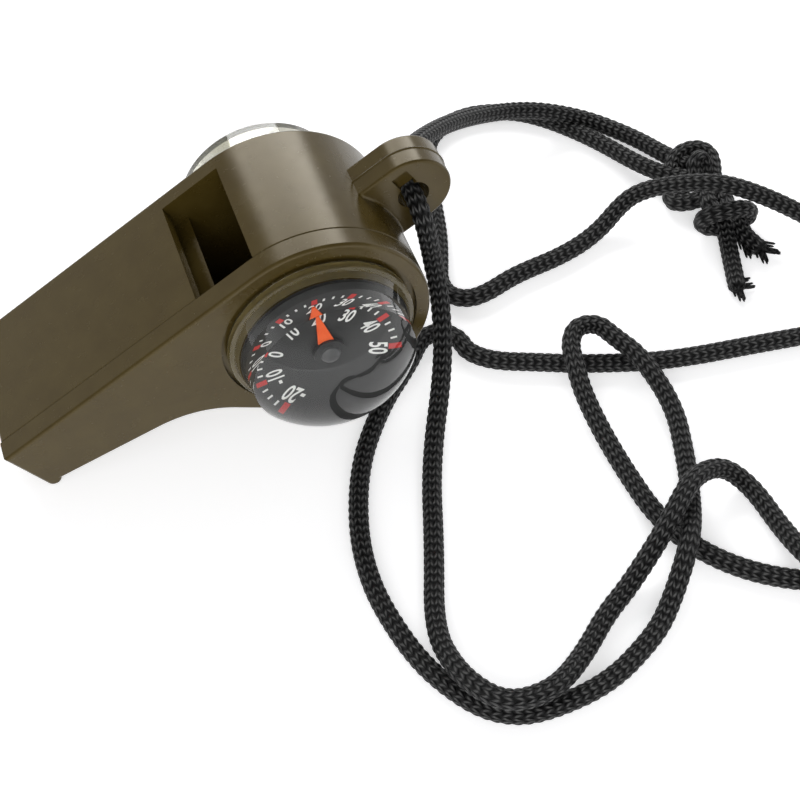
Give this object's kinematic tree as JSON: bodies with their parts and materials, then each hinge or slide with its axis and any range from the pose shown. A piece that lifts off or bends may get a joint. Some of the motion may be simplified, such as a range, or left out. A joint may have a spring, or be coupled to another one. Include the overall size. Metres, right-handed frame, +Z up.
{
  "type": "survival whistle",
  "caption": "Pea-type survival whistle with a domed dial thermometer on one side, a domed compass on the other and a knotted neck cord.",
  "frame": {"origin": "on the ground straight below the drum's axis, at the whistle's mid width", "axes": "+X from the mouthpiece to the lug along the ground, +Y from the thermometer side to the compass side along the drum's axis, +Z up"},
  "size_m": [0.1205, 0.111, 0.0289],
  "materials": {
    "olive_plastic": "satin moulded, grey olive",
    "clear_plastic": "polished and clear",
    "dial_black": "printed, black with white and red marks",
    "needle_orange": "thin sheet painted orange-red",
    "brass": "turned",
    "bimetal": "rolled strip",
    "steel": "bright",
    "white_plastic": "smooth",
    "card_plastic": "printed sheet",
    "cord_black": "round braid, black"
  },
  "bodies": {
    "whistle": {"whistle_body": "olive_plastic", "side_cover": "olive_plastic", "thermometer_dome": "clear_plastic", "compass_dome": "clear_plastic", "thermometer_dial": "dial_black", "bimetal_coil": "bimetal", "coil_anchor": "brass", "compass_base": "white_plastic", "compass_pivot": "steel", "neck_cord": "cord_black", "neck_cord_short": "cord_black", "cord_knot": "cord_black", "cord_tail_1": "cord_black", "cord_tail_2": "cord_black"},
    "pointer": {"thermometer_pointer": "needle_orange", "pointer_arbor": "brass"},
    "card": {"compass_card": "card_plastic", "compass_jewel": "brass", "compass_magnet": "steel"}
  },
  "joints": [
    {"name": "thermometer_needle", "type": "hinge", "parent": "whistle", "child": "pointer", "pos_m": [0, -0.0128, 0.0144], "axis": [0, 1, 0], "range_deg": [-134, 112], "stiffness_Nm_per_rad": 0.00002, "deforming": ["bimetal_coil"]},
    {"name": "compass_card_turn", "type": "hinge", "parent": "whistle", "child": "card", "pos_m": [0, 0.0138, 0.0144], "axis": [0, 1, 0], "continuous": true}
  ]
}
